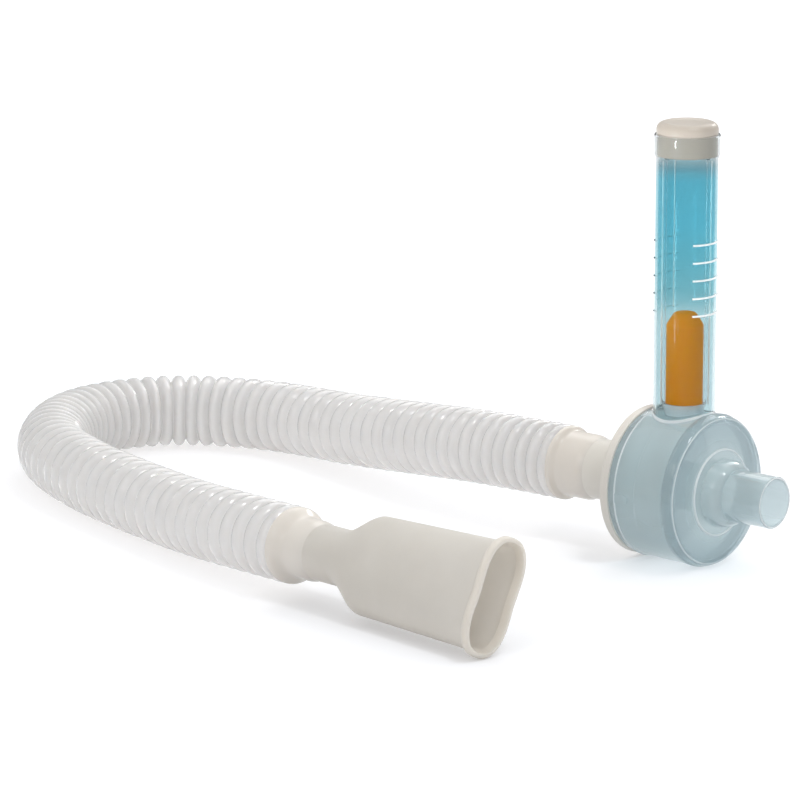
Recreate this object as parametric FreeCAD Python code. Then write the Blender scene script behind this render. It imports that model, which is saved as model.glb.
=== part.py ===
"""Incentive spirometer: clear drum and flow tube, rotary selector, hose and mouthpiece.

Frame: millimetres, +Z up, origin on the bench under the axis of the upright flow tube.
The drum lies along Y, with its nozzle towards -Y and its selector and hose towards +Y.
"""
import FreeCAD, Part
import math
import os

V = FreeCAD.Vector

# Drum
drum_r = 32.6              # outer radius of the front cover, which rests on the bench
barrel_inset = 0.4         # step in from the cover to the barrel
barrel_step = 0.3
step_slope = 0.5
bead_width = 1.0
bead_height = 0.25
neck_depth = 0.6           # of the recessed band behind the barrel's rear bead
drum_wall = 1.6
seam_y = -13.0             # joint between cover and barrel
step_y = 1.2
bead_y = 12.4
drum_back_y = 15.7
fit = 0.05                 # radial clearance of cemented and running fits
axis_z = drum_r
front_barrel_r = drum_r - barrel_inset
rear_barrel_r = front_barrel_r - barrel_step
neck_r = rear_barrel_r - neck_depth
inner_r = rear_barrel_r - drum_wall
drum_top_z = axis_z + front_barrel_r
wall_front_y = drum_back_y - drum_wall
pad_length = 6.5
pad_width = 4.0
pad_height = 0.5
pad_drop = 1.5             # of the pad's middle under the drum's axis

# Front cover and nozzle
cover_wall = 1.8
cover_edge_r = 2.7
cover_depth = 5.9
cover_side = 4.4           # depth of the edge's rounding
cover_dome = 0.5
cover_spigot = 3.2
cover_spigot_wall = 1.3
nozzle_r = 11.0
nozzle_land = 14.0         # straight length that takes a 22 mm connector
nozzle_draft = 0.45
nozzle_wall = 1.5
nozzle_length = 27.8
flare_r = nozzle_r + 2.6
flare_length = 6.9
flare_shoulder = 0.6       # rounding of the flare's dome, inwards and along
flare_shoulder_y = 1.7
flare_dome_r = 4.0
flare_lip = 0.4
boss_r = flare_r + 4.4
boss_edge = 0.9
boss_height = 1.1
face_y = seam_y - cover_depth
boss_y = face_y - boss_height
nozzle_end_y = boss_y - nozzle_length

# Flow tube
tube_r = 13.0
tube_wall = 1.2
tube_inner_r = tube_r - tube_wall
tube_length = 108.9        # from the drum's top to the socket
foot_width = 1.2
foot_thickness = 1.1
socket_depth = 8.9
socket_r = tube_r + 0.85
mark_count = 5
mark_start = 42.8          # from the drum's top to the lowest mark
mark_pitch = 7.5
mark_height = 0.45
mark_width = 1.0
mark_half_angle = 40.0
socket_bottom_z = drum_top_z + tube_length
rim_z = socket_bottom_z + socket_depth
mark_low_z = drum_top_z + mark_start

# Float, its guide tube and its seat
float_r = 7.8
float_length = 40.6
float_chamfer = 0.8
float_top_r = 4.4
float_shoulder = 5.2
float_wall = 1.0
float_clearance = 0.35
guide_r = float_r + float_clearance
guide_wall = 1.2
guide_outer_r = guide_r + guide_wall
guide_air_gap = 1.0
guide_top_z = socket_bottom_z - guide_air_gap
seat_rise = 3.8
seat_depth = 9.4
seat_taper = 1.15
seat_foot_r = guide_r - seat_taper
seat_floor = 1.6
seat_gap = 0.2
bowl_r = 4.2
inlet_r = 3.0
seat_top_z = drum_top_z + seat_rise
seat_bottom_z = seat_top_z - seat_depth
bowl_floor_z = seat_bottom_z + seat_floor
air_slot_width = 6.0
air_slot_gap = 0.55

# Plug
plug_head_r = tube_r
plug_head_height = 5.2
plug_head_floor = 3.0
plug_wall = 1.4
plug_dish = 0.6
plug_rib = 1.2
stop_z = socket_bottom_z + 0.3

# Partition, port and selector
partition_y = bead_y - 3.8
partition_thickness = 1.0
hub_r = 9.0
port_wall = 1.5
ring_thickness = 1.2
ring_r = hub_r + 2.0
ring_groove = 0.75
ring_gap = 3.0
ring_y = wall_front_y - ring_thickness - 0.2
stem_front_y = ring_y - 0.7
spigot_r = 13.0
spigot_wall = 1.7
spigot_bore_r = spigot_r - spigot_wall
spigot_length = 38.0
collar_r = spigot_r + 2.6
collar_thickness = 1.6
dial_overhang = 0.4        # of the dial over the neck
dial_r = neck_r + dial_overhang
dial_gap = 0.3
dial_thickness = 4.5
dial_edge_r = 1.6
dial_web = 2.0
dial_rim = 3.6
dial_rim_r = dial_r - dial_rim
dial_hub_r = spigot_r + 4.5
dial_hub_height = 5.8
dial_hub_back_y = drum_back_y + dial_hub_height
spigot_end_y = dial_hub_back_y + spigot_length
seal_half_width = 3.4
seal_thickness = 0.7
orifice_pcd_r = (dial_hub_r + dial_rim_r) / 2 - 0.8
orifice_first_r = 0.8
orifice_step_r = 0.3
orifice_count = 6
orifice_angle = 30.0
window_r = 2.4

# Hose, cuffs and mouthpiece
hose_r = 16.25
hose_wall = 0.8
cuff_wall = 1.1
rear_cuff_length = 18.5
rear_cuff_shoulder = 4.0
hose_start_y = spigot_end_y + 2.5
front_cuff_wall = 0.9
front_cuff_length = 19.0
front_cuff_shoulder = 8.0
cuff_end = -14.0           # along the mouthpiece's axis, from the neck's flare
mouth_x, mouth_y, mouth_z = -166.2, -35.15, 23.8
mouth_yaw = 8.2
mouth_pitch = 1.2
mouth_roll = 25.0
mouth_length = 90.2        # from the neck's flare to the lip
neck_length = 30.0
mouth_neck_r = 11.8
mouth_wall = 1.3
body_start = 18.0
shoulder_half_height = 20.8
shoulder_half_width = 10.5
end_half_height = 22.7
end_half_width = 10.8
waist = 1.6
oval_power = 2.5           # 2 would be an ellipse
lip_height = 4.2
lip_roll = 2.1
lie_z = hose_r + 0.25      # height of the hose's middle where it lies on the bench
fall_z = axis_z - lie_z
route = [(0, 103, axis_z), (11, 160, lie_z + 0.621 * fall_z), (27, 212, lie_z + 0.186 * fall_z),
         (36, 264, lie_z), (13, 311, lie_z), (-35, 325, lie_z), (-80, 297, lie_z),
         (-104, 250, lie_z), (-119, 203, lie_z + 0.2), (-133, 158, lie_z + 1.5)]
last_run = 36.0


def rounded(points, radii, closed=True):
    """Wire through the points, with a tangent arc of the given radius at each corner."""
    n = len(points)
    corners = []
    for i, point in enumerate(points):
        r = radii[i]
        if r <= 0 or (not closed and i in (0, n - 1)):
            corners.append((point, None, point))
            continue
        to_last = (points[i - 1] - point).normalize()
        to_next = (points[(i + 1) % n] - point).normalize()
        half = to_last.getAngle(to_next) / 2
        reach = r / math.tan(half)
        middle = point + (to_last + to_next).normalize() * (r / math.sin(half) - r)
        corners.append((point + to_last * reach, middle, point + to_next * reach))
    edges = []
    for i, (start, middle, end) in enumerate(corners):
        if middle is not None:
            edges.append(Part.Arc(start, middle, end).toShape())
        if closed or i < n - 1:
            following = corners[(i + 1) % n][0]
            if (following - end).Length > 1e-6:
                edges.append(Part.LineSegment(end, following).toShape())
    return Part.Wire(edges)


def turned_y(profile):
    """Solid of revolution about the drum's axis from (radius, y, corner radius) points."""
    points = [V(r, y, axis_z) for r, y, _ in profile]
    face = Part.Face(rounded(points, [c for _, _, c in profile]))
    return face.revolve(V(0, 0, axis_z), V(0, 1, 0), 360)


def turned_z(profile):
    """Solid of revolution about the flow tube's axis from (radius, z, corner radius) points."""
    points = [V(r, 0, z) for r, z, _ in profile]
    face = Part.Face(rounded(points, [c for _, _, c in profile]))
    return face.revolve(V(0, 0, 0), V(0, 0, 1), 360)


def rod_y(radius, y0, y1, x=0.0, z=0.0):
    """Cylinder along Y, placed from the drum's axis."""
    return Part.makeCylinder(radius, y1 - y0, V(x, y0, axis_z + z), V(0, 1, 0))


def disc_y(outer, inner, y0, y1):
    return rod_y(outer, y0, y1).cut(rod_y(inner, y0 - 1, y1 + 1))


parts = {}

# Barrel: a stepped shell with a rear wall. Its roof has a tapered hole for the float seat and
# a slot that joins the gap round the guide tube to the rear chamber.
barrel = turned_y([
    (inner_r, seam_y, 0), (front_barrel_r, seam_y, 0), (front_barrel_r, step_y, 0.15),
    (rear_barrel_r, step_y + step_slope, 0.1), (rear_barrel_r, bead_y - bead_width, 0),
    (rear_barrel_r + bead_height, bead_y - bead_width / 2, 0.3), (rear_barrel_r, bead_y, 0),
    (neck_r, bead_y, 0), (neck_r, drum_back_y, 0.4), (hub_r, drum_back_y, 0),
    (hub_r, wall_front_y, 0), (inner_r, wall_front_y, 1.2)])
envelope = turned_y([
    (0, nozzle_end_y, 0), (drum_r, nozzle_end_y, 0), (drum_r, seam_y, 0), (front_barrel_r, seam_y, 0),
    (front_barrel_r, step_y, 0), (rear_barrel_r, step_y + step_slope, 0),
    (rear_barrel_r, bead_y - bead_width, 0), (rear_barrel_r + bead_height, bead_y - bead_width, 0),
    (rear_barrel_r + bead_height, bead_y, 0), (neck_r, bead_y, 0), (neck_r, drum_back_y, 0),
    (0, drum_back_y, 0)])
roof_hole = Part.makeCone(seat_foot_r + fit, guide_outer_r + fit, seat_top_z - seat_bottom_z,
                          V(0, 0, seat_bottom_z))
slot_back_y = math.sqrt((tube_inner_r - fit) ** 2 - (air_slot_width / 2) ** 2)
slot_front_y = guide_outer_r + air_slot_gap
air_slot = Part.makeBox(air_slot_width, slot_back_y - slot_front_y, drum_r,
                        V(-air_slot_width / 2, slot_front_y, axis_z + inner_r / 2))
barrel = barrel.cut(roof_hole).cut(air_slot)
barrel = barrel.cut(rod_y(window_r, wall_front_y - 1, drum_back_y + 1, z=-orifice_pcd_r))
pad_x = -rear_barrel_r - pad_height
pad_y = bead_y - bead_width - pad_length + pad_width / 2
pad_z = axis_z - pad_drop
pad = Part.makeBox(pad_height + drum_wall / 2, pad_length - pad_width / 2, pad_width,
                   V(pad_x, pad_y, pad_z - pad_width / 2))
pad_end = Part.makeCylinder(pad_width / 2, pad_height + drum_wall / 2, V(pad_x, pad_y, pad_z), V(1, 0, 0))
parts["barrel"] = barrel.fuse(pad.fuse(pad_end)).removeSplitter()

# Front cover: a shallow dome with a rounded edge, a raised boss and a nozzle that flares at
# its root. A ring behind the edge centres it in the barrel.
bore_r = nozzle_r - nozzle_wall
spigot_outer_r = inner_r - fit
parts["front_cover"] = turned_y([
    (bore_r, nozzle_end_y, 0.4), (nozzle_r, nozzle_end_y, 0.5), (nozzle_r, nozzle_end_y + nozzle_land, 0),
    (nozzle_r + nozzle_draft, boss_y - flare_length, 1.5),
    (flare_r - flare_shoulder, boss_y - flare_length + flare_shoulder_y, flare_dome_r),
    (flare_r, boss_y - flare_lip, 1.2),
    (boss_r, boss_y, 0.9), (boss_r + boss_edge, face_y - 0.1, 0.4),
    (drum_r - 1.5, face_y + cover_dome, cover_edge_r),
    (drum_r, face_y + cover_side, 0.6), (drum_r, seam_y, 0), (spigot_outer_r, seam_y, 0),
    (spigot_outer_r, seam_y + cover_spigot, 0.3),
    (spigot_outer_r - cover_spigot_wall, seam_y + cover_spigot, 0.3),
    (spigot_outer_r - cover_spigot_wall, face_y + cover_wall + 0.3, 0.6),
    (flare_r + 1.0, face_y + cover_wall, 2.0), (bore_r, boss_y - 3.0, 1.5)])

# Flow tube: its foot is cut to the barrel, and its top widens into a socket for the plug.
# Raised marks lie on the side towards the nozzle and on the side towards the dial.
tube = turned_z([
    (tube_inner_r, axis_z + inner_r / 2, 0), (tube_r, axis_z + inner_r / 2, 0),
    (tube_r, socket_bottom_z - 1.2, 1.0), (socket_r - 0.15, socket_bottom_z + 0.6, 0.8),
    (socket_r, rim_z, 0.3), (socket_r - tube_wall, rim_z, 0.2),
    (socket_r - tube_wall, socket_bottom_z, 0), (tube_inner_r, socket_bottom_z, 0.3)])
foot = Part.makeCylinder(tube_r + foot_width, drum_r, V(0, 0, axis_z + inner_r / 2)).cut(
    Part.makeCylinder(tube_r - tube_wall / 2, drum_r, V(0, 0, axis_z + inner_r / 2)))
foot = foot.common(rod_y(front_barrel_r + foot_thickness, -drum_r, drum_r))
tube = tube.fuse(foot).cut(envelope)
for side in (-90, 90):
    for i in range(mark_count):
        z = mark_low_z + i * mark_pitch
        points = [V(tube_r - 0.2, 0, z - mark_width / 2), V(tube_r, 0, z - mark_width / 2),
                  V(tube_r + mark_height, 0, z), V(tube_r, 0, z + mark_width / 2),
                  V(tube_r - 0.2, 0, z + mark_width / 2)]
        mark = Part.Face(Part.makePolygon(points + points[:1]))
        mark = mark.revolve(V(0, 0, 0), V(0, 0, 1), 2 * mark_half_angle)
        mark.rotate(V(0, 0, 0), V(0, 0, 1), side - mark_half_angle)
        tube = tube.fuse(mark)
parts["column_tube"] = tube.removeSplitter()

# Guide tube: stands on the seat's rim and leaves an air gap under the plug.
parts["guide_tube"] = turned_z([
    (guide_r, seat_top_z, 0), (guide_outer_r, seat_top_z, 0), (guide_outer_r, guide_top_z, 0.3),
    (guide_r, guide_top_z, 0.3)])

# Float seat: a bowl in a tapered plug, with the air inlet in its floor.
parts["float_seat"] = turned_z([
    (inlet_r, seat_bottom_z, 0), (seat_foot_r, seat_bottom_z, 0), (guide_outer_r, seat_top_z, 0),
    (guide_r, seat_top_z, 0), (bowl_r, bowl_floor_z, 1.0), (inlet_r, bowl_floor_z, 0)])

# Float: a thin cup, open below, with a shouldered flat top and a lower edge chamfered to sit in
# the bowl.
bowl_slope = (seat_top_z - bowl_floor_z) / (guide_r - bowl_r)
gap_across = seat_gap * math.sqrt(1 + 1 / bowl_slope ** 2)
float_bottom_z = bowl_floor_z + (float_r - float_chamfer + gap_across - bowl_r) * bowl_slope
float_top_z = float_bottom_z + float_length
parts["indicator_float"] = turned_z([
    (0, float_top_z, 0), (float_top_r, float_top_z, 2.0), (float_r, float_top_z - float_shoulder, 2.6),
    (float_r, float_bottom_z + float_chamfer * bowl_slope, 0), (float_r - float_chamfer, float_bottom_z, 0),
    (float_r - float_wall, float_bottom_z, 0), (float_r - float_wall, float_top_z - float_shoulder, 2.0),
    (float_top_r - 0.6, float_top_z - float_wall, 0.8), (0, float_top_z - float_wall, 0)])

# Plug: a push-in skirt, a low domed head with a dished top, and crossed ribs that stop the float.
skirt_r = socket_r - tube_wall - fit
rib_reach = skirt_r - plug_wall / 2
head_z = rim_z + plug_head_height
plug = turned_z([
    (0, head_z - plug_dish, 0), (plug_head_r * 0.55, head_z - plug_dish, 4.0),
    (plug_head_r * 0.78, head_z, 2.0), (plug_head_r, head_z - 1.2, 3.0),
    (plug_head_r, rim_z, 0.8), (skirt_r, rim_z, 0), (skirt_r, socket_bottom_z + 0.1, 0.3),
    (skirt_r - plug_wall, socket_bottom_z + 0.1, 0.3), (skirt_r - plug_wall, rim_z + plug_head_floor, 1.5),
    (0, rim_z + plug_head_floor, 0)])
for angle in (0, 90):
    rib = Part.makeBox(2 * rib_reach, plug_rib, rim_z + plug_head_floor + 0.5 - stop_z,
                       V(-rib_reach, -plug_rib / 2, stop_z))
    rib.rotate(V(0, 0, 0), V(0, 0, 1), angle)
    plug = plug.fuse(rib)
parts["column_plug"] = plug.removeSplitter()

# Partition: parts the front chamber, at room pressure, from the rear chamber, under suction.
parts["partition"] = rod_y(inner_r - fit, partition_y, partition_y + partition_thickness)

# Hose port: a stem through the drum's rear wall, a sleeve that the dial turns on, a collar
# behind the dial and the spigot for the hose.
stem_r = hub_r - fit
ring_back_y = ring_y + ring_thickness + fit
hub_back_y = dial_hub_back_y + 0.1
parts["hose_port"] = turned_y([
    (stem_r - port_wall, stem_front_y, 0), (stem_r, stem_front_y, 0.2), (stem_r, ring_y - fit, 0),
    (stem_r - ring_groove, ring_y - fit, 0), (stem_r - ring_groove, ring_back_y, 0),
    (stem_r, ring_back_y, 0), (stem_r, drum_back_y, 0), (spigot_r, drum_back_y, 0),
    (spigot_r, hub_back_y, 0),
    (collar_r, hub_back_y, 0.3), (collar_r, hub_back_y + collar_thickness, 0.8),
    (spigot_r, hub_back_y + collar_thickness, 0.5), (spigot_r, spigot_end_y, 0.5),
    (spigot_bore_r, spigot_end_y, 0.4), (spigot_bore_r, drum_back_y + 4.0, 1.5),
    (stem_r - port_wall, drum_back_y + 1.0, 1.0)])

# Snap ring: a split ring in the stem's groove, inside the drum.
ring = disc_y(ring_r, hub_r - ring_groove, ring_y, ring_y + ring_thickness)
parts["snap_ring"] = ring.cut(Part.makeBox(ring_gap, ring_thickness + 2, ring_r,
                                           V(-ring_gap / 2, ring_y - 1, axis_z - ring_r - 1)))

# Dial seal: lies on the drum's rear wall round the bleed window.
seal = disc_y(orifice_pcd_r + seal_half_width, orifice_pcd_r - seal_half_width, drum_back_y,
              drum_back_y + seal_thickness)
parts["dial_seal"] = seal.cut(rod_y(window_r, drum_back_y - 1, drum_back_y + 2, z=-orifice_pcd_r))

# Selector dial: a rimmed web on a hub, with a row of bleed holes of growing size, one of which
# stands over the window at each setting.
dial_front_y = drum_back_y + dial_gap
web_front_y = drum_back_y + seal_thickness + 0.1
dial_back_y = dial_front_y + dial_thickness
web_back_y = web_front_y + dial_web
dial = turned_y([
    (spigot_r + fit, web_front_y, 0), (dial_rim_r, web_front_y, 0), (dial_rim_r, dial_front_y, 0),
    (dial_r, dial_front_y, 0.5), (dial_r, dial_back_y, dial_edge_r), (dial_rim_r + 0.6, dial_back_y, 0.7),
    (dial_rim_r - 0.4, web_back_y, 0.8), (dial_hub_r + 0.6, web_back_y, 0.8),
    (dial_hub_r, dial_hub_back_y, 0.5), (spigot_r + fit, dial_hub_back_y, 0.3)])
for i in range(orifice_count):
    hole = rod_y(orifice_first_r + i * orifice_step_r, web_front_y - 1, web_back_y + 1, z=-orifice_pcd_r)
    hole.rotate(V(0, 0, axis_z), V(0, 1, 0), i * orifice_angle)
    dial = dial.cut(hole)
parts["selector_dial"] = dial

# Rear cuff: grips the spigot and widens in a rounded shoulder to the hose.
cuff_r = spigot_r + cuff_wall
rear_cuff_front_y = hose_start_y - rear_cuff_length
parts["rear_cuff"] = turned_y([
    (spigot_r, rear_cuff_front_y, 0), (cuff_r, rear_cuff_front_y, 0.4),
    (cuff_r, hose_start_y - rear_cuff_shoulder, 1.5), (hose_r, hose_start_y - 0.8, 1.0),
    (hose_r, hose_start_y, 0), (hose_r - hose_wall, hose_start_y, 0),
    (hose_r - hose_wall - 0.2, hose_start_y - 0.8, 0), (spigot_r, spigot_end_y + 0.3, 0)])


# Mouthpiece frame: its axis runs from the hose to the lip, turned, tipped and rolled as it lies.
def mouth_placement():
    tip = FreeCAD.Rotation(V(0, 0, 1), -mouth_yaw) * FreeCAD.Rotation(V(1, 0, 0), 90 - mouth_pitch)
    spin = FreeCAD.Rotation(V(0, 0, 1), -mouth_roll)
    rotation = tip * spin
    axis = rotation.multVec(V(0, 0, 1))
    lip = V(mouth_x, mouth_y, mouth_z)
    return FreeCAD.Placement(lip - axis * mouth_length, rotation), axis


mouth_place, mouth_axis = mouth_placement()


def oval(half_width, half_height, pinch, power, s, count=24):
    """Closed curve at distance s along the mouthpiece: round, or oval with a slight waist."""
    points = []
    for i in range(count):
        t = 2 * math.pi * i / count
        c, q = math.cos(t), math.sin(t)
        y = half_height * math.copysign(abs(q) ** (2 / power), q)
        x = half_width * math.copysign(abs(c) ** (2 / power), c)
        x *= 1 - pinch / half_width * math.exp(-(y / (0.5 * half_height)) ** 2)
        points.append(V(x, y, s))
    curve = Part.BSplineCurve()
    curve.interpolate(Points=points, PeriodicFlag=True)
    return Part.Wire(curve.toShape())


def mouth_form(inset, start, end):
    """Round neck, a flare and the oval body up to the lip, inset by a wall."""
    def ring(s):
        share = min(max(s / body_start, 0.0), 1.0)
        blend = share * share * (3 - 2 * share)
        along = max(s - body_start, 0.0) / (mouth_length - body_start)
        half_width = mouth_neck_r + (shoulder_half_width - mouth_neck_r) * blend
        half_height = mouth_neck_r + (shoulder_half_height - mouth_neck_r) * blend
        return oval(half_width + (end_half_width - shoulder_half_width) * along - inset,
                    half_height + (end_half_height - shoulder_half_height) * along - inset,
                    waist * (0.4 * blend + 0.6 * along), 2.0 + (oval_power - 2.0) * blend, s)
    form = Part.makeLoft([ring(start), ring(0)], True, True)
    form = form.fuse(Part.makeLoft([ring(body_start * k / 4) for k in range(5)], True, False))
    return form.fuse(Part.makeLoft([ring(body_start), ring(end)], True, True))


# Mouthpiece: a round neck that flares into a waisted oval body with a rolled lip.
lip_steps = ((-lip_height, 0.1), (-0.8 * lip_height, 0.8 * lip_roll), (-0.45 * lip_height, lip_roll),
             (-0.12 * lip_height, 0.8 * lip_roll), (0.0, 0.35 * lip_roll))
bell_steps = ((-lip_height, -1.4 * mouth_wall), (0.0, 0.1 * mouth_wall), (0.3, 0.2 * mouth_wall))


def lip_loft(steps):
    """Loft through ovals at the lip, each grown from the body's end by its own step."""
    return Part.makeLoft([oval(end_half_width + grow, end_half_height + grow, waist, oval_power,
                               mouth_length + s) for s, grow in steps], True, False)


mouthpiece = mouth_form(0.0, -neck_length, mouth_length - 0.5 * lip_height).fuse(lip_loft(lip_steps))
mouthpiece = mouthpiece.cut(mouth_form(mouth_wall, -neck_length - 1.0, mouth_length + 1.0))
mouthpiece = mouthpiece.cut(lip_loft(bell_steps))
mouthpiece.Placement = mouth_place
parts["mouthpiece"] = mouthpiece


# Front cuff: grips the neck and widens in a long shoulder to the hose.
def turned_local(profile):
    points = [V(r, 0, s) for r, s, _ in profile]
    face = Part.Face(rounded(points, [c for _, _, c in profile]))
    solid = face.revolve(V(0, 0, 0), V(0, 0, 1), 360)
    solid.Placement = mouth_place
    return solid


shoulder_s = cuff_end - front_cuff_length + front_cuff_shoulder
hose_s = cuff_end - front_cuff_length
parts["front_cuff"] = turned_local([
    (mouth_neck_r, cuff_end, 0), (mouth_neck_r + front_cuff_wall, cuff_end, 0.3),
    (mouth_neck_r + front_cuff_wall, shoulder_s, 3.0), (hose_r, hose_s + 1.0, 1.0), (hose_r, hose_s, 0),
    (hose_r - hose_wall, hose_s, 0), (mouth_neck_r, -neck_length - 0.3, 0)])

# Hose: straight runs joined by tangent arcs, from the rear cuff round and back to the front cuff.
hose_end = mouth_place.multVec(V(0, 0, hose_s))
points = [V(0, hose_start_y, axis_z)] + [V(*p) for p in route]
points += [hose_end - mouth_axis * last_run, hose_end]
radii = [0.0] * len(points)
for i in range(1, len(points) - 1):
    before, after = points[i] - points[i - 1], points[i + 1] - points[i]
    turn = before.getAngle(after)
    radii[i] = 0.45 * min(before.Length, after.Length) / math.tan(turn / 2)
path = rounded(points, radii, closed=False)


def swept(radius):
    ring = Part.Wire(Part.makeCircle(radius, points[0], V(0, 1, 0)))
    return path.makePipeShell([ring], True, False)


parts["hose"] = swept(hose_r).cut(swept(hose_r - hose_wall))
print("float from %.2f to %.2f, travel %.2f" % (float_bottom_z, float_top_z, stop_z - float_top_z))
print("hose length %.1f, bend radii %s" % (path.Length, " ".join("%.0f" % r for r in radii[1:-1])))
section = math.pi * (hose_r ** 2 - (hose_r - hose_wall) ** 2)
print("hose volume %.0f, section by length %.0f" % (parts["hose"].Volume, section * path.Length))

os.makedirs("parts", exist_ok=True)
for name, shape in parts.items():
    solids = shape.Solids
    if len(solids) != 1 or not shape.isValid():
        print("check", name, len(solids), shape.isValid())
    solids[0].exportStep("parts/%s.step" % name)
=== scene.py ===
import math

import bmesh
import bpy
from mathutils import Matrix, Vector


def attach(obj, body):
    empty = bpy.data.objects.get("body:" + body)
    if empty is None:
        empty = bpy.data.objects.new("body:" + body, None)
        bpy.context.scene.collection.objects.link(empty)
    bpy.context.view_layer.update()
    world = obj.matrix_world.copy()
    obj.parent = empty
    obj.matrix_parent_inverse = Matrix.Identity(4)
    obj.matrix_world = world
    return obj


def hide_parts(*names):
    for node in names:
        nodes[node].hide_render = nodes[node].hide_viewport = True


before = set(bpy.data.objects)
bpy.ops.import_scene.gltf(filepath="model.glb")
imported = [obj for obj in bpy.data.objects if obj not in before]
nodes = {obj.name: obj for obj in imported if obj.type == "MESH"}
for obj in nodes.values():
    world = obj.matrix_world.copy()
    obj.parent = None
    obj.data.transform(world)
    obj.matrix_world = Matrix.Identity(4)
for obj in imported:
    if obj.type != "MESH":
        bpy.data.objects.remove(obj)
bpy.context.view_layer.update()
scene = bpy.context.scene
scene.view_settings.view_transform = "Standard"

# Camera: a long lens, a little above the bench, off the nozzle's left side, so that the
# hose runs away to the left and comes back towards the lens.
lens_turn, lens_rise = math.radians(-49.52), math.radians(13.0)
towards_lens = Vector((math.sin(lens_turn) * math.cos(lens_rise), -math.cos(lens_turn) * math.cos(lens_rise),
                       math.sin(lens_rise)))
lens = bpy.data.cameras.new("long_lens")
lens.lens = 225
lens.sensor_width = 36
camera = bpy.data.objects.new("camera", lens)
scene.collection.objects.link(camera)
camera.rotation_mode = "QUATERNION"
camera.rotation_quaternion = (-towards_lens).to_track_quat("-Z", "Y")
camera.location = (-1.63243, -1.23652, 0.54127)
scene.camera = camera

# Hose: thin milky polyethylene, blown into round ridges about 8 mm apart with sharp folds
# between them, drawn out on its straight runs and pushed together in its one wide bend. It
# leaves the selector's spigot level, sinks to the bench and lies flat up to the mouthpiece.
hose_points = [
    (0.0, 0.062, 0.0326), (0.0, 0.103, 0.0326), (0.011, 0.160, 0.0265), (0.027, 0.212, 0.0195),
    (0.036, 0.264, 0.0165), (0.013, 0.311, 0.0165), (-0.035, 0.325, 0.0165), (-0.080, 0.297, 0.0165),
    (-0.104, 0.250, 0.0165), (-0.119, 0.203, 0.0167), (-0.133, 0.158, 0.0180),
    (-0.1435, 0.12239, 0.02047), (-0.14863, 0.08676, 0.02122)]
crest_r, fold_depth, hose_wall = 0.01622, 0.0034, 0.0006
hose_sides, ridge_steps, ridge_roundness = 48, 10, 2.6
# Each pair is a distance along the hose, and how long a ridge is there.
ridge_lengths = [
    (0.0, 0.0062), (0.04, 0.0065), (0.08, 0.0077), (0.13, 0.009), (0.20, 0.008), (0.24, 0.0068),
    (0.33, 0.0068), (0.40, 0.0081), (0.48, 0.009), (0.52, 0.0081), (0.60, 0.0081)]

hose_line = bpy.data.curves.new("hose_line", "CURVE")
hose_line.dimensions = "3D"
hose_line.resolution_u = 24
spline = hose_line.splines.new("NURBS")
spline.points.add(len(hose_points) - 1)
for knot, point in zip(spline.points, hose_points):
    knot.co = (*point, 1.0)
spline.order_u = 3
spline.use_endpoint_u = True
hose_guide = bpy.data.objects.new("hose_line", hose_line)
scene.collection.objects.link(hose_guide)
bpy.context.view_layer.update()
hose_path = [v.co.copy() for v in bpy.data.meshes.new_from_object(hose_guide).vertices]
hose_reach = sum((b - a).length for a, b in zip(hose_path, hose_path[1:]))


def ridge_length(along):
    """The length of the ridge that starts at this distance along the hose."""
    for (near, first), (far, last) in zip(ridge_lengths, ridge_lengths[1:]):
        if near <= along < far:
            return first + (last - first) * (along - near) / (far - near)
    return ridge_lengths[-1][1]


def turned(bm, outline, centre, axis, sides, closed=True):
    """Spin an outline of points right round an axis, and turn its faces outward."""
    rim = [bm.verts.new(point) for point in outline]
    pairs = list(zip(rim, rim[1:] + rim[:1] if closed else rim[1:]))
    lines = [bm.edges.new(pair) for pair in pairs]
    bmesh.ops.spin(bm, geom=rim + lines, cent=centre, axis=axis, angle=math.tau, steps=sides, use_merge=True)
    bmesh.ops.remove_doubles(bm, verts=bm.verts, dist=1e-6)
    bmesh.ops.recalc_face_normals(bm, faces=bm.faces)


def add_object(name, bm):
    """Make a bmesh into an object of that name, smooth but for its sharp edges."""
    sharpest_smooth = 0.6
    for edge in bm.edges:
        if edge.is_manifold and edge.calc_face_angle() > sharpest_smooth:
            edge.smooth = False
    mesh = bpy.data.meshes.new(name)
    bm.to_mesh(mesh)
    bm.free()
    for face in mesh.polygons:
        face.use_smooth = True
    obj = bpy.data.objects.new(name, mesh)
    scene.collection.objects.link(obj)
    return obj


def settle(obj):
    """Fix an object's modifiers into its mesh."""
    bpy.context.view_layer.update()
    graph = bpy.context.evaluated_depsgraph_get()
    mesh = bpy.data.meshes.new_from_object(obj.evaluated_get(graph))
    obj.modifiers.clear()
    obj.data = mesh


def fit(obj, slot, *plastics):
    """Give a new piece its plastics, and fix it to the housing. Its slot is not used."""
    for material in plastics:
        obj.data.materials.append(material)
    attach(obj, "housing")
    return obj


def noise(tree, place, scale, detail):
    """A cloudy pattern laid through the piece."""
    pattern = tree.nodes.new("ShaderNodeTexNoise")
    pattern.inputs["Scale"].default_value = scale
    pattern.inputs["Detail"].default_value = detail
    tree.links.new(place.outputs["Object"], pattern.inputs["Vector"])
    return pattern.outputs["Fac"]


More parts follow.
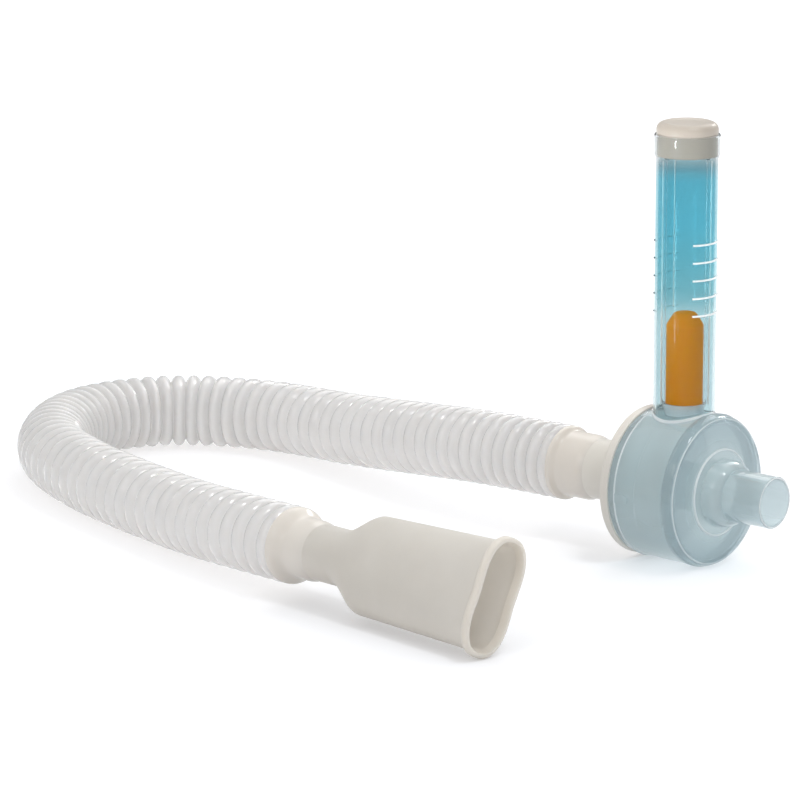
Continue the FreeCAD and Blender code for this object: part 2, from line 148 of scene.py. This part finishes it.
def plastic(name, colour, roughness, drift=0.04, drift_scale=35.0, grain=0.0, **inputs):
    """Moulded plastic with a slight cloudy drift in its colour, and a fine grain in its skin.
    With no colour given, tint_along lays it on."""
    grain_scale = 1500.0
    material = bpy.data.materials.new(name)
    material.use_nodes = True
    tree = material.node_tree
    skin = tree.nodes["Principled BSDF"]
    place = tree.nodes.new("ShaderNodeTexCoord")
    if colour:
        ramp = tree.nodes.new("ShaderNodeValToRGB")
        darker, lighter = ramp.color_ramp.elements
        darker.position, lighter.position = 0.3, 0.7
        darker.color = (*[c * (1 - drift) for c in colour], 1.0)
        lighter.color = (*[min(1.0, c * (1 + drift)) for c in colour], 1.0)
        tree.links.new(noise(tree, place, drift_scale, 3.0), ramp.inputs["Fac"])
        tree.links.new(ramp.outputs["Color"], skin.inputs["Base Color"])
    if grain:
        bump = tree.nodes.new("ShaderNodeBump")
        bump.inputs["Strength"].default_value = 1.0
        bump.inputs["Distance"].default_value = grain
        tree.links.new(noise(tree, place, grain_scale, 2.0), bump.inputs["Height"])
        tree.links.new(bump.outputs["Normal"], skin.inputs["Normal"])
    skin.inputs["Roughness"].default_value = roughness
    skin.inputs["IOR"].default_value = 1.49
    skin.inputs["Subsurface Radius"].default_value = (1.0, 0.95, 0.9)
    for key, value in inputs.items():
        skin.inputs[key.replace("_", " ")].default_value = value
    return material


def combined(tree, operation, first, second):
    """One number out of two, such as the larger of them."""
    maths = tree.nodes.new("ShaderNodeMath")
    maths.operation = operation
    tree.links.new(first, maths.inputs[0])
    tree.links.new(second, maths.inputs[1])
    return maths.outputs[0]


def see_through(material, tint):
    """Let lamps and soft light straight through a clear plastic, dimmed by its tint."""
    tree = material.node_tree
    path = tree.nodes.new("ShaderNodeLightPath")
    lit = combined(tree, "MAXIMUM", path.outputs["Is Shadow Ray"], path.outputs["Is Diffuse Ray"])
    open_air = tree.nodes.new("ShaderNodeBsdfTransparent")
    open_air.inputs["Color"].default_value = (*tint, 1.0)
    both = tree.nodes.new("ShaderNodeMixShader")
    tree.links.new(lit, both.inputs["Fac"])
    tree.links.new(tree.nodes["Principled BSDF"].outputs["BSDF"], both.inputs[1])
    tree.links.new(open_air.outputs["BSDF"], both.inputs[2])
    tree.links.new(both.outputs["Shader"], tree.nodes["Material Output"].inputs["Surface"])
    return material


folds = [0.0]
while folds[-1] < hose_reach:
    folds.append(folds[-1] + ridge_length(folds[-1]))
folds = [fold * hose_reach / folds[-1] for fold in folds]
profile = [(0.0, 0.0, crest_r - fold_depth)]
for start, end in zip(folds, folds[1:]):
    for step in range(1, ridge_steps + 1):
        along = math.sin(math.pi * (step / ridge_steps - 0.5))
        drop = fold_depth * abs(along) ** ridge_roundness
        profile.append((start + (end - start) * (0.5 + 0.5 * along), 0.0, crest_r - drop))
ridged = bmesh.new()
turned(ridged, profile, (0, 0, 0), (1, 0, 0), hose_sides, closed=False)
# Faces down in the folds get a paler plastic: painted highlight, the bright line along each fold.
for face in ridged.faces:
    centre = face.calc_center_median()
    if math.hypot(centre.y, centre.z) < crest_r - 0.5 * fold_depth:
        face.material_index = 1
hose = add_object("hose_tube", ridged)
bend = hose.modifiers.new("bend", "CURVE")
bend.object = hose_guide
bend.deform_axis = "POS_X"
wall = hose.modifiers.new("wall", "SOLIDIFY")
wall.thickness = hose_wall
wall.offset = -1
settle(hose)
bpy.data.objects.remove(hose_guide)
milky = plastic("milky_polyethylene", (0.92, 0.91, 0.90), 0.28, drift=0.015, Transmission_Weight=0.6,
                IOR=1.3, Subsurface_Weight=0.8, Subsurface_Scale=0.003, Coat_Weight=0.8, Coat_Roughness=0.1)
see_through(milky, (0.9, 0.89, 0.88))
# A paler copy of the hose plastic for the folds, as painted highlight.
fold_highlight_white = plastic("fold_highlight_polyethylene", (0.97, 0.965, 0.96), 0.25, drift=0.02, Subsurface_Weight=0.9,
                      Subsurface_Scale=0.003)
see_through(fold_highlight_white, (0.95, 0.945, 0.94))
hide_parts("hose")
fit(hose, "hose", milky, fold_highlight_white)

# Cuffs: smooth soft polyethylene sleeves at both ends of the hose, with a rounded shoulder
# up to the first ridge. They are stretched over the spigot and the mouthpiece's neck.
cuff_plastic = plastic("cuff_polyethylene", (0.76, 0.715, 0.655), 0.24, drift=0.02, Subsurface_Weight=0.3,
                       Subsurface_Scale=0.0015)
see_through(cuff_plastic, (0.9, 0.88, 0.86))


def cuff(name, node, start, way, length, shoulder, grip_r, thickness, hold):
    """A sleeve from the hose's end: full width, a rounded shoulder, then a close grip. Its far
    end feathers off, and dips a little into what it grips."""
    end_r, end_flat, end_wall = 0.01605, 0.001, 0.0008
    dip, play, shoulder_steps = 0.0002, 0.00005, 8
    outer_r = grip_r + thickness
    outline = [(0.0, end_r - end_wall), (0.0, end_r), (end_flat, end_r)]
    for step in range(1, shoulder_steps):
        share = step / shoulder_steps
        bow = 0.5 - 0.5 * math.cos(math.pi * share)
        outline.append((end_flat + (shoulder - end_flat) * share, end_r + (outer_r - end_r) * bow))
    outline += [(shoulder, outer_r), (length - 0.0045, outer_r), (length - 0.0032, outer_r - dip),
                (length - 0.0014, grip_r + dip), (length, grip_r - dip), (length - 0.0016, grip_r - dip),
                (length - 0.002, grip_r + play), (hold, grip_r + play)]
    bm = bmesh.new()
    turned(bm, [(x, 0, r) for x, r in outline], (0, 0, 0), (1, 0, 0), 72)
    lie = Matrix.Translation(start) @ way.to_track_quat("X", "Z").to_matrix().to_4x4()
    bmesh.ops.transform(bm, matrix=lie, verts=bm.verts)
    sleeve = add_object(name, bm)
    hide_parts(node)
    return fit(sleeve, "hose", cuff_plastic)


hose_start, hose_end = Vector(hose_points[0]), Vector(hose_points[-1])
front_way = (hose_end - Vector(hose_points[-2])).normalized()
front_cuff = cuff("front_sleeve", "front_cuff", hose_end, front_way, length=0.019, shoulder=0.008,
                  grip_r=0.0118, thickness=0.0009, hold=0.0027)
rear_cuff = cuff("rear_sleeve", "rear_cuff", hose_start, Vector((0, -1, 0)), length=0.0185, shoulder=0.0040,
                 grip_r=0.0130, thickness=0.0011, hold=0.0030)

# Mouthpiece: injection-moulded in a warm white plastic, with a round neck, a waisted oval
# body and a rolled lip. Its neck is pushed into the front cuff.
skin_grain = 0.00001


def finish_node(name, material):
    """Give a CAD node its plastic."""
    mesh = nodes[name].data
    mesh.materials.clear()
    mesh.materials.append(material)
    return nodes[name]


mouth_plastic = plastic("mouthpiece_plastic", (0.69, 0.64, 0.57), 0.34, grain=skin_grain,
                        Subsurface_Weight=0.8, Subsurface_Scale=0.008)
see_through(mouth_plastic, (0.55, 0.52, 0.48))
mouthpiece = finish_node("mouthpiece", mouth_plastic)

# Drum: a barrel that lies on its side, with a wall across it between its two chambers. Both
# are moulded in smoke-blue clear plastic and cemented together.
drum_axis_z = 0.0326
drum_centre, drum_axis = (0, 0, drum_axis_z), (0, 1, 0)
drum_plastic = plastic("smoky_clear", (0.67, 0.765, 0.78), 0.13, drift=0.03, Transmission_Weight=0.7,
                       IOR=1.2, Coat_Weight=0.7, Coat_Roughness=0.03)
see_through(drum_plastic, (0.90, 0.93, 0.94))
for name in ("barrel", "partition"):
    finish_node(name, drum_plastic)

# Front cover: a domed moulding of the same plastic with the flared nozzle in its middle,
# cemented to the barrel. Its colour is painted paler round the nozzle and darker towards
# its rim, as painted shade on the rounded rim.
cover_plastic = plastic("cover_clear", None, 0.13, Transmission_Weight=0.7, IOR=1.2, Coat_Weight=0.7,
                        Coat_Roughness=0.03)
# Stops by distance from the drum's axis: the cover's own tint, with painted shade darkening it towards the
# rim.
cover_tint_and_shade_stops = [
    (0.01, (0.66, 0.75, 0.77)), (0.01345, (0.72, 0.80, 0.81)), (0.0169, (0.72, 0.80, 0.81)),
    (0.0215, (0.62, 0.72, 0.74)), (0.0284, (0.56, 0.66, 0.69)), (0.03185, (0.54, 0.65, 0.68)),
    (0.033, (0.60, 0.70, 0.72))]


def rescaled(tree, value, low, high, start=0.0, end=1.0):
    """A value that runs from low to high, mapped to run from start to end."""
    span = tree.nodes.new("ShaderNodeMapRange")
    for key, limit in (("From Min", low), ("From Max", high), ("To Min", start), ("To Max", end)):
        span.inputs[key].default_value = limit
    tree.links.new(value, span.inputs["Value"])
    return span


def tint_along(material, distance, low, high, stops):
    """Tint a plastic by a distance between low and high, from (distance, colour) stops."""
    tree = material.node_tree
    fade = tree.nodes.new("ShaderNodeValToRGB")
    tints = fade.color_ramp.elements
    tints.remove(tints[1])
    for i, (reach, tint) in enumerate(stops):
        at = (reach - low) / (high - low)
        stop = tints[0] if i == 0 else tints.new(at)
        stop.position = at
        stop.color = (*tint, 1.0)
    tree.links.new(rescaled(tree, distance, low, high).outputs["Result"], fade.inputs["Fac"])
    tree.links.new(fade.outputs["Color"], tree.nodes["Principled BSDF"].inputs["Base Color"])


tree = cover_plastic.node_tree
across = tree.nodes.new("ShaderNodeVectorMath")
across.operation = "MULTIPLY_ADD"
across.inputs[1].default_value = (1, 0, 1)
across.inputs[2].default_value = (0, 0, -drum_axis_z)
tree.links.new(tree.nodes["Texture Coordinate"].outputs["Object"], across.inputs[0])
from_axis = tree.nodes.new("ShaderNodeVectorMath")
from_axis.operation = "LENGTH"
tree.links.new(across.outputs["Vector"], from_axis.inputs[0])
tint_along(cover_plastic, from_axis.outputs["Value"], 0.01, 0.033, cover_tint_and_shade_stops)
see_through(cover_plastic, (0.90, 0.93, 0.94))
finish_node("front_cover", cover_plastic)

# Painted highlights: pale rings on the cover's rim and boss, the barrel's rear bead and the
# nozzle's lip, where these edges catch light. Each is a slim round bead, half sunk into its clear wall.
highlight_plastic = plastic("painted_highlight_clear", (0.87, 0.93, 0.95), 0.1, drift=0.15, drift_scale=40.0,
                       Transmission_Weight=0.5, IOR=1.3, Coat_Weight=1.0, Coat_Roughness=0.03)
see_through(highlight_plastic, (0.85, 0.9, 0.92))
bead_steps, bead_sides = 10, 128
for name, radius, y, bead_r in (("cover_highlight_ring", 0.03062, -0.01758, 0.00045),
                                ("boss_highlight_ring", 0.01815, -0.01965, 0.0005),
                                ("rear_bead_highlight", 0.0317, 0.0119, 0.00048),
                                ("nozzle_lip_highlight", 0.01035, -0.04762, 0.00035)):
    outline = []
    for step in range(bead_steps):
        a = math.tau * step / bead_steps
        outline.append((radius + bead_r * math.cos(a), y + bead_r * math.sin(a), drum_axis_z))
    bead = bmesh.new()
    turned(bead, outline, drum_centre, drum_axis, bead_sides)
    fit(add_object(name, bead), "clear", highlight_plastic)

# Nozzle collar: the thick root of the nozzle, moulded with the cover out of the same clear
# plastic. It swells out of the dome and closes in on the nozzle.
collar_inner_r, collar_r, collar_swell = 0.0109, 0.01105, 0.0036
collar_y, collar_sunk, collar_length, collar_steps = -0.0202, 0.0004, 0.0085, 10
outline = [(collar_inner_r, collar_y + collar_sunk)]
for step in range(collar_steps + 1):
    a = math.radians(90 * step / collar_steps)
    outline.append((collar_r + collar_swell * math.cos(a), collar_y - collar_length * math.sin(a)))
outline.append((collar_inner_r, collar_y - collar_length))
collar = bmesh.new()
turned(collar, [(r, y, drum_axis_z) for r, y in outline], drum_centre, drum_axis, 96)
fit(add_object("nozzle_collar", collar), "clear", cover_plastic)

# Flow tube: an upright tube of glass-clear plastic, tinted aqua towards its top, where it
# widens into a socket for the plug. Its lower end is cut to the drum's side and cemented on.
tube_r, tube_inner_r, tube_low_z = 0.0130, 0.0118, 0.0648
socket_r, socket_wall, socket_z, rim_z = 0.01385, 0.0012, 0.1737, 0.1826
saddle_r, saddle_gap = 0.0322, 0.00002
tube_sides = 96


def saddle_z(x):
    """The height of the drum's side, at a distance across from its axis."""
    return drum_axis_z + math.sqrt(saddle_r ** 2 - x ** 2) + saddle_gap


def aqua_clear(name, stops, ior):
    """Clear plastic whose tint changes with height, from (height, colour) stops."""
    material = plastic(name, None, 0.02, Transmission_Weight=1.0, IOR=ior)
    tree = material.node_tree
    parts = tree.nodes.new("ShaderNodeSeparateXYZ")
    tree.links.new(tree.nodes["Texture Coordinate"].outputs["Object"], parts.inputs["Vector"])
    tint_along(material, parts.outputs["Z"], 0.06, 0.19, stops)
    return see_through(material, (0.97, 0.985, 0.99))


# From 170 mm up to the socket the tint turns grey: painted shade of the plug.
tube_clear = aqua_clear("tube_clear", [
    (0.066, (0.64, 0.75, 0.77)), (0.106, (0.57, 0.71, 0.73)), (0.114, (0.39, 0.61, 0.65)),
    (0.129, (0.32, 0.60, 0.66)), (0.145, (0.28, 0.60, 0.68)), (0.164, (0.29, 0.605, 0.685)),
    (0.170, (0.39, 0.53, 0.57)), (0.1735, (0.66, 0.69, 0.69))], 1.18)
tube_clear.node_tree.nodes["Principled BSDF"].inputs["Coat Weight"].default_value = 0.12
outline = [
    (tube_inner_r, tube_low_z), (tube_r, tube_low_z), (tube_r, socket_z - 0.0012),
    (socket_r - 0.00015, socket_z + 0.0006), (socket_r, rim_z - 0.0004), (socket_r - 0.0003, rim_z),
    (socket_r - 0.0009, rim_z), (socket_r - socket_wall, rim_z - 0.0003), (socket_r - socket_wall, socket_z),
    (tube_inner_r, socket_z)]
tube = bmesh.new()
turned(tube, [(r, 0, z) for r, z in outline], (0, 0, 0), (0, 0, 1), tube_sides)
for v in tube.verts:
    if v.co.z < tube_low_z + 0.0012:
        v.co.z = saddle_z(v.co.x)
tube_piece = add_object("flow_tube", tube)
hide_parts("column_tube")
fit(tube_piece, "clear", tube_clear)

# Tube foot: a low clear fillet right round the flow tube, where it is cemented to the drum.
# It follows the drum's round side. Its pale plastic is painted highlight, the bright crescents round the
# tube's root.
outline = [
    (tube_r - 0.0001, 0.0), (tube_r + 0.0006, 0.0), (tube_r + 0.0006, 0.0003), (tube_r + 0.0004, 0.0006),
    (tube_r + 0.0001, 0.0008), (tube_r - 0.0001, 0.0009)]
foot = bmesh.new()
turned(foot, [(r, 0, z) for r, z in outline], (0, 0, 0), (0, 0, 1), tube_sides)
for v in foot.verts:
    v.co.z += saddle_z(v.co.x)
fit(add_object("tube_foot", foot), "clear", highlight_plastic)

# Marks: five raised bars on the flow tube's front, and five clear ones on its back. They are
# moulded with the tube and show how high the float has risen. The front bars are white as
# painted highlight, where they catch light.
mark_low_z, mark_pitch, mark_height, mark_sunk = 0.1076, 0.0075, 0.0009, 0.0001
mark_count, mark_reach, mark_steps = 5, 40, 28


def mark_arc(bm, z, bearing, proud):
    """One raised mark: a slim ridge that runs part of the way round the tube."""
    outline = [(tube_r - mark_sunk, -mark_height / 2), (tube_r + proud, -mark_height / 5),
               (tube_r + proud, mark_height / 5), (tube_r - mark_sunk, mark_height / 2)]
    turn_to_start = Matrix.Rotation(math.radians(bearing - mark_reach), 3, "Z")
    end = bm.faces.new([bm.verts.new(turn_to_start @ Vector((r, 0, z + h))) for r, h in outline])
    bmesh.ops.spin(bm, geom=[end], cent=(0, 0, 0), axis=(0, 0, 1), angle=math.radians(2 * mark_reach),
                   steps=mark_steps)


painted_highlight_white = plastic("painted_highlight_white", (0.92, 0.95, 0.96), 0.2, Subsurface_Weight=0.3, Subsurface_Scale=0.001,
                     Coat_Weight=0.6, Coat_Roughness=0.05)
faint_mark = aqua_clear("faint_mark", [(0.1, (0.9, 0.96, 0.97)), (0.16, (0.85, 0.95, 0.97))], 1.06)
for name, bearing, material, proud in (("front_marks", -90, painted_highlight_white, 0.00055),
                                       ("rear_marks", 90, faint_mark, 0.00045)):
    marks = bmesh.new()
    for i in range(mark_count):
        mark_arc(marks, mark_low_z + i * mark_pitch, bearing, proud)
    bmesh.ops.remove_doubles(marks, verts=marks.verts, dist=1e-6)
    bmesh.ops.recalc_face_normals(marks, faces=marks.faces)
    fit(add_object(name, marks), "clear", material)

# Guide tube and seat: clear mouldings inside the flow tube. The guide tube keeps the float
# upright, and the seat below it catches the float in a bowl.
guide_clear = aqua_clear("guide_clear", [
    (0.068, (0.97, 0.98, 0.99)), (0.106, (0.97, 0.98, 0.985)), (0.118, (0.93, 0.965, 0.97)),
    (0.172, (0.95, 0.975, 0.98))], 1.12)
finish_node("guide_tube", guide_clear)
seat_clear = plastic("seat_clear", (0.93, 0.95, 0.96), 0.12, Transmission_Weight=0.6, IOR=1.2,
                     Coat_Weight=0.5, Coat_Roughness=0.05)
see_through(seat_clear, (0.92, 0.94, 0.95))
finish_node("float_seat", seat_clear)

# Ribs: two slim ribs outside the guide tube, and a line of beads up the flow tube's back
# wall, one behind each mark and four above. The ribs are moulded in. Their white, and the
# beads, are painted highlight: the bright lines and beaded glint that light draws on the tubes.
line_bearing, bead_line_r, bead_low_z, bead_count = 64.5, 0.01165, mark_low_z + 0.0005, 9
mark_bead_r, top_bead_r = 0.0006, 0.00045


def beside(bearing, radius, z):
    """A place at this bearing and distance from the flow tube's axis."""
    a = math.radians(bearing)
    return Matrix.Translation((radius * math.cos(a), radius * math.sin(a), z))


ribs = bmesh.new()
for bearing, radius, low, high, rib_r in ((130.5, 0.0098, 0.0675, 0.1715, 0.00036),
                                          (-49.5, 0.0102, 0.0675, 0.1715, 0.00036),
                                          (line_bearing, 0.0117, 0.1085, 0.1722, 0.00034)):
    bmesh.ops.create_cone(ribs, cap_ends=True, segments=10, radius1=rib_r, radius2=rib_r, depth=high - low,
                          matrix=beside(bearing, radius, (low + high) / 2))
for i in range(bead_count):
    bmesh.ops.create_uvsphere(ribs, u_segments=12, v_segments=8,
                              radius=mark_bead_r if i < mark_count else top_bead_r,
                              matrix=beside(line_bearing, bead_line_r, bead_low_z + i * mark_pitch))
fit(add_object("guide_ribs_and_glints", ribs), "clear", painted_highlight_white)

# Float: a light moulded cup of amber plastic with a chamfered flat top. It is loose in the
# guide tube, and the drawn air lifts it.
amber = plastic("amber_plastic", (0.86, 0.26, 0.0), 0.5, drift=0.06, Subsurface_Weight=0.2,
                Subsurface_Scale=0.002, IOR=1.06)
finish_node("indicator_float", amber)

# Plug: a warm white moulding with a low domed head, pushed into the flow tube's socket. Its
# skirt ends the float's travel.
plug_plastic = plastic("plug_plastic", (0.52, 0.465, 0.40), 0.32, grain=skin_grain)
finish_node("column_plug", plug_plastic)

# Selector dial and hose port: warm white mouldings behind the drum. The port is pushed
# through the drum's rear wall and carries the hose, and the dial turns on its sleeve.
bone = plastic("bone_plastic", (0.74, 0.71, 0.65), 0.32, grain=skin_grain)
for name in ("selector_dial", "hose_port"):
    finish_node(name, bone)

# Seal and ring: a soft rubber ring between the drum's rear wall and the dial, and a ring
# inside the drum that holds the port.
rubber = plastic("seal_rubber", (0.60, 0.60, 0.58), 0.6)
finish_node("dial_seal", rubber)
steel = plastic("ring_steel", (0.6, 0.6, 0.6), 0.3, Metallic=1.0)
finish_node("snap_ring", steel)

# Bench: a plain sheet of white paper that runs on far behind the part. Where the lamps no
# longer reach it is lifted a little, so that it stays white up to the edge of the picture.
bench_half, near_lift, far_lift = 20.0, 0.3, 0.5
sheet = bmesh.new()
bmesh.ops.create_grid(sheet, x_segments=2, y_segments=2, size=bench_half)
bench = add_object("bench", sheet)
paper = bpy.data.materials.new("bench_paper")
paper.use_nodes = True
tree = paper.node_tree
matt = tree.nodes["Principled BSDF"]
matt.inputs["Base Color"].default_value = (0.765, 0.775, 0.80, 1.0)
matt.inputs["Roughness"].default_value = 0.9
matt.inputs["Specular IOR Level"].default_value = 0.0
matt.inputs["Emission Color"].default_value = (1, 1, 1, 1)
path = tree.nodes.new("ShaderNodeLightPath")
seen = combined(tree, "MAXIMUM", path.outputs["Is Camera Ray"], path.outputs["Is Glossy Ray"])
seen = combined(tree, "MAXIMUM", seen, path.outputs["Is Transmission Ray"])
place = tree.nodes.new("ShaderNodeTexCoord")
away = tree.nodes.new("ShaderNodeVectorMath")
away.operation = "LENGTH"
tree.links.new(place.outputs["Object"], away.inputs[0])
lift = rescaled(tree, away.outputs["Value"], 0.9, 2.2, near_lift, far_lift)
tree.links.new(combined(tree, "MULTIPLY", seen, lift.outputs["Result"]), matt.inputs["Emission Strength"])
bench.data.materials.append(paper)

# Studio: white walls all round, a little dimmer as light than they look, and dimmer still in
# reflections from the side where the lens stands. Softboxes hang at the back, front and sides.
wall_light, far_mirror, lens_mirror = 0.75, 0.6, 0.35
world = bpy.data.worlds.new("studio")
scene.world = world
world.use_nodes = True
tree = world.node_tree
walls = tree.nodes["Background"]
walls.inputs["Color"].default_value = (1, 1, 1, 1)
path = tree.nodes.new("ShaderNodeLightPath")
way = tree.nodes.new("ShaderNodeTexCoord")
facing = tree.nodes.new("ShaderNodeVectorMath")
facing.operation = "DOT_PRODUCT"
facing.inputs[1].default_value = towards_lens
tree.links.new(way.outputs["Generated"], facing.inputs[0])
mirrored = rescaled(tree, facing.outputs["Value"], -0.2, 0.7, far_mirror, lens_mirror)
mirrored.interpolation_type = "SMOOTHSTEP"
lit = tree.nodes.new("ShaderNodeMix")
lit.inputs[2].default_value = wall_light
tree.links.new(path.outputs["Is Glossy Ray"], lit.inputs[0])
tree.links.new(mirrored.outputs["Result"], lit.inputs[3])
seen = combined(tree, "MAXIMUM", path.outputs["Is Camera Ray"], path.outputs["Is Transmission Ray"])
strength = tree.nodes.new("ShaderNodeMix")
strength.inputs[3].default_value = 1.0
tree.links.new(seen, strength.inputs[0])
tree.links.new(lit.outputs[0], strength.inputs[2])
tree.links.new(strength.outputs[0], walls.inputs["Strength"])


def lamp(name, place, target, size, watts, tall=None, spread=180):
    """A square softbox that faces the target, or a strip if its height is given."""
    light = bpy.data.lights.new(name, "AREA")
    light.shape = "RECTANGLE"
    light.size = size
    light.size_y = tall or size
    light.spread = math.radians(spread)
    light.energy = watts
    box = bpy.data.objects.new(name, light)
    scene.collection.objects.link(box)
    box.location = place
    box.rotation_mode = "QUATERNION"
    box.rotation_quaternion = (Vector(target) - Vector(place)).to_track_quat("-Z", "Y")


hose_middle, drum_middle, tube_middle = (-0.06, 0.14, 0.05), (0, 0, 0.05), (0, 0, 0.15)
lamp("back_soft", (0.85, 0.5, 1.25), hose_middle, 1.0, 5)
lamp("top_front", (-0.1, -0.45, 1.25), drum_middle, 0.24, 3.3)
lamp("front_left", (-1.6, 0.1, 1.1), hose_middle, 0.6, 2.0)
lamp("right_side", (1.2, 0.25, 0.7), (0, 0, 0.06), 0.2, 2.2)
lamp("lens_side", (-1.1, -1.1, 0.6), (0, 0, 0.04), 0.12, 0.6)
lamp("low_strip", (-0.45, 0.035, 0.055), tube_middle, 0.05, 0.03, tall=0.09, spread=24)
